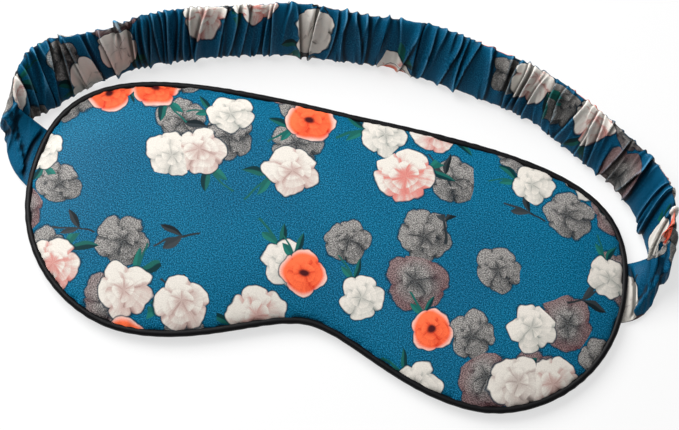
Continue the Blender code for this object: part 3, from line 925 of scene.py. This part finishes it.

# %% [markdown]
# Gathers are narrow standing folds that run across the strap, at uneven steps, each strongest somewhere
# along its length. A cloth simulation could make them, but not where they are wanted. So every fold lifts
# the cloth along a crooked line across it and leans to one side. Folds that lie close together lean the same
# way, or they would cut into each other. A shade value paints a highlight along each crest and shade into
# the hollow beside it, for the satin's colour.

# %% Gathers
FOLD_TALL, FOLD_WIDE = (1.1, 2.3), (0.42, 0.68)
SLANT_SPREAD, SLANT_MOST = 1.5, 1.8
FOLD_SWAY, FOLD_REACH, FOLD_ENDS = 0.45 * MM, 6 * MM, 8 * MM
CLOSE_STEP = 4.5 * MM
BEST_REACH, HELD_SPREAD, TILTS = 0.9, (0.25, 0.8), (0.2, 0.6)
SMALL_STEPS, LARGE_STEPS, SMALL_SHARE = (1.6, 4.2), (5, 10), 0.6
STEEP_SIDE, GENTLE_SIDE = 0.9, 1.6
# Width of the painted highlight along a crest, and the depth, place and width of the painted shade in the
# hollow beside it
CREST_SHINE_WIDTH = 0.45
HOLLOW_SHADE_SHARE, HOLLOW_SHADE_OFF, HOLLOW_SHADE_WIDTH = 0.8, 1.8, 1.6
PUFF_TALL, PUFF_LENGTH, PUFF_DRIFT = 0.3 * MM, 2.1 * MM, 31 * MM
PUFF_STEP, FINE_STEP, FINE_TALL = 9 * MM, 1.1 * MM, 0.10
EASE_FROM, EASE_OVER, EASE_LEAST = 8 * MM, 14 * MM, 0.05
EDGE_CALM = 0.5
rng = np.random.default_rng(11)
lift, slide, shade = np.zeros(len(run)), np.zeros(len(run)), np.zeros(len(run))
folds = 0
for face in (math.pi / 2, -math.pi / 2):
    place, step, lean = FOLD_ENDS, STRAP_LENGTH, 1
    while place < STRAP_LENGTH - FOLD_ENDS:
        tall = rng.uniform(*FOLD_TALL) * MM
        wide = rng.uniform(*FOLD_WIDE) * MM
        slant = np.clip(rng.normal(0, SLANT_SPREAD), -SLANT_MOST, SLANT_MOST) * MM
        sway = rng.uniform(0, 2 * np.pi)
        best = face + rng.uniform(-BEST_REACH, BEST_REACH)
        spread = rng.uniform(*HELD_SPREAD)
        fresh = rng.choice([-1, 1])
        lean = fresh if step > CLOSE_STEP else lean
        tilt = lean * rng.uniform(*TILTS)
        off = run - place - slant * oval_across - FOLD_SWAY * np.sin(2 * turn + sway)
        near = np.where(abs(off) < FOLD_REACH)[0]
        off = off[near]
        width = np.where(off * tilt > 0, STEEP_SIDE * wide, GENTLE_SIDE * wide)
        held = (0.5 + 0.5 * np.cos(turn[near] - best)) ** spread
        ridge = np.exp(-(off / width) ** 2) * held
        hollow_painted_shade = np.exp(-((off - HOLLOW_SHADE_OFF * wide * np.sign(tilt)) / (HOLLOW_SHADE_WIDTH * wide)) ** 2)
        lift[near] += tall * ridge
        slide[near] += tilt * tall * ridge
        # Painted highlight along the crest and painted shade in the hollow beside it
        shade[near] += held * np.exp(-(off / (CREST_SHINE_WIDTH * width)) ** 2)
        shade[near] -= HOLLOW_SHADE_SHARE * held * hollow_painted_shade
        step = rng.uniform(*(SMALL_STEPS if rng.random() < SMALL_SHARE else LARGE_STEPS)) * MM
        place += step
        folds += 1
puff = PUFF_TALL * np.sin(run / PUFF_LENGTH + 2 * np.cos(turn + run / PUFF_DRIFT))
lift += puff * even_open_noise(17, RUN, PUFF_STEP)[station]
lift += even_open_noise(23, RUN, FINE_STEP)[station] * FINE_TALL * MM
ease_in = np.clip((FROM_END[station] - EASE_FROM) / EASE_OVER, EASE_LEAST, 1)
calm = ease_in * (1 - EDGE_CALM * abs(oval_across) ** 4)
lift *= calm
slide *= calm
shade *= ease_in
print("folds", folds)

# %% [markdown]
# Where the strap turns up at its ends, the cloth has to go somewhere, and it breaks into a few slanting
# creases. Each is listed: a ridge that is steep on one side, with a groove at its foot.

# %% Creases
# The end, the face, mm from the seam, the slant across and the height in mm
CREASES = [(-1, -1, 20, 2.0, 0.9), (-1, 1, 12.5, 7.0, 1.7), (-1, 1, 7, -2.0, 1.0), (-1, 1, 18, -4.0, 0.9),
           (1, -1, 22, 2.5, 1.5), (1, 1, 13, 6.5, 1.9), (1, 1, 7, -2.5, 1.2), (1, 1, 18, -3.0, 1.4)]
CREASE_SWAY = 0.8
RIDGE_AT, RIDGE_STEEP, RIDGE_GENTLE = 0.8, 0.8, 2.6
GROOVE_AT, GROOVE_DEPTH = 0.9, 0.3
SHINE_AT, SHINE_SHARE = 0.5, 0.35
CREASE_LEAN = 0.7
for end, face, middle, slant, tall in CREASES:
    showing = np.maximum(0, face * np.sin(turn)) ** 0.5 * (1 - abs(oval_across) ** 6)
    reach = (run if end < 0 else STRAP_LENGTH - run) / MM
    off = reach - middle - slant * oval_across - CREASE_SWAY * np.sin(3 * oval_across + middle)
    ridge_width = np.where(off > RIDGE_AT, RIDGE_GENTLE, RIDGE_STEEP)
    ridge = np.exp(-((off - RIDGE_AT) / ridge_width) ** 2) * showing
    groove = np.exp(-((off + GROOVE_AT) / GROOVE_AT) ** 2) * showing
    lift += (tall * ridge - GROOVE_DEPTH * groove) * MM
    slide += end * CREASE_LEAN * tall * ridge * MM
    # Painted shine along the crease and painted shade in its groove
    shade += SHINE_SHARE * np.exp(-((off - SHINE_AT) / SHINE_AT) ** 2) * showing - groove
print("creases", len(CREASES))

# %% [markdown]
# Now the grid is rolled round the strap's edges, lifted by its folds and given the thickness of cloth.
# One mesh stands for the loop and both sewn ends, since the real sleeve runs through.

# %% Gathered sleeve
BODY_HALF, END_HALF = 1.6 * MM, 0.7 * MM
EDGE_DRAW = 0.7 * MM
FLOOR_CLEAR = 0.1 * MM
SLEEVE_WELD = 0.005 * MM
CLOTH_THICK = 0.2 * MM
half_thick = END_HALF + (BODY_HALF - END_HALF) * ease_in
half_wide = np.linalg.norm(HALF, axis=1)[station]
normal_across, normal_through = oval_across / half_wide, oval_through / half_thick
norm = np.hypot(normal_across, normal_through)
out_across = oval_across * (half_wide - EDGE_DRAW * ease_in) + lift * normal_across / norm
out_through = oval_through * half_thick + lift * normal_through / norm
side = HALF[station] / half_wide[:, None]
rolled = (MIDDLE[station] + side * out_across[:, None] + THROUGH[station] * out_through[:, None]
          + ALONG[station] * slide[:, None])
rolled[:, 2] = np.maximum(rolled[:, 2], FLOOR_CLEAR)
set_verts(sleeve, rolled)
# The shade value is stored on the points, for the painted shade and highlight of the strap's satin
painted_fold_shade = sleeve.data.attributes.new("painted_fold_shade", "FLOAT", "POINT")
painted_fold_shade.data.foreach_set("value", np.clip(shade, -1, 1).astype(np.float32))
weld(SLEEVE_WELD)
bpy.ops.object.shade_smooth()
wall = sleeve.modifiers.new("cloth_wall", "SOLIDIFY")
wall.thickness = CLOTH_THICK
wall.offset = -1
bpy.ops.object.modifier_apply(modifier=wall.name)
sleeve.data.materials.append(PRINT_STRAP)
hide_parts("strap_sleeve", "left_strap_end", "right_strap_end")
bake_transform(sleeve)
print("sleeve points", len(sleeve.data.vertices))

# %% [markdown]
# The elastic inside the sleeve is a flat woven band. It can't be seen at rest, but it has to follow the
# sleeve when the strap swings, so it is a piece of its own. Near each end it is slimmer than the imported
# solid, which leaves it more room inside the sleeve.

# %% Elastic
ELASTIC_SHARE = 0.62
ELASTIC_THICK_HALF = 0.35 * MM
ELASTIC_FROM = 5 * MM
BEND_LENGTH, WIDEN_LENGTH = 95 * MM, 20 * MM
SLIM_LEAST, NARROW_LEAST = 0.28, 0.4
WEAVE_DIP = 0.8
STEP = 3
ACROSS = (-1, -0.5, 0, 0.5, 1)
corners = [(a, -1) for a in ACROSS] + [(a, 1) for a in reversed(ACROSS)]
rows = np.where(FROM_END > ELASTIC_FROM)[0][::STEP]
bands = []
for count, row in enumerate(rows):
    widened = float(np.clip((FROM_END[row] - BEND_LENGTH) / WIDEN_LENGTH, 0, 1))
    slim = SLIM_LEAST + (1 - SLIM_LEAST) * widened
    thick = ELASTIC_THICK_HALF * slim * (1.0 if count % 2 else WEAVE_DIP)
    half = HALF[row] * ELASTIC_SHARE * (NARROW_LEAST + (1 - NARROW_LEAST) * slim)
    bands.append(np.array([MIDDLE[row] + half * a + THROUGH[row] * thick * t for a, t in corners]))
band = loft_object("woven_elastic", bands, caps=True)
band.data.materials.append(ELASTIC)
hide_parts("strap_elastic")
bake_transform(band)
print("elastic points", len(band.data.vertices))

# %% [markdown]
# The wadding, the dark interlining and the piping's cord stay as packed, closed inside the case. They
# only need their own cloth.

# %% Inner pieces
for name, material in (("padding", WADDING), ("blackout_lining", LINING), ("piping_cord", WADDING)):
    inner = frame["nodes"][name]
    inner.data.materials.clear()
    inner.data.materials.append(material)
    print("inner piece", name)
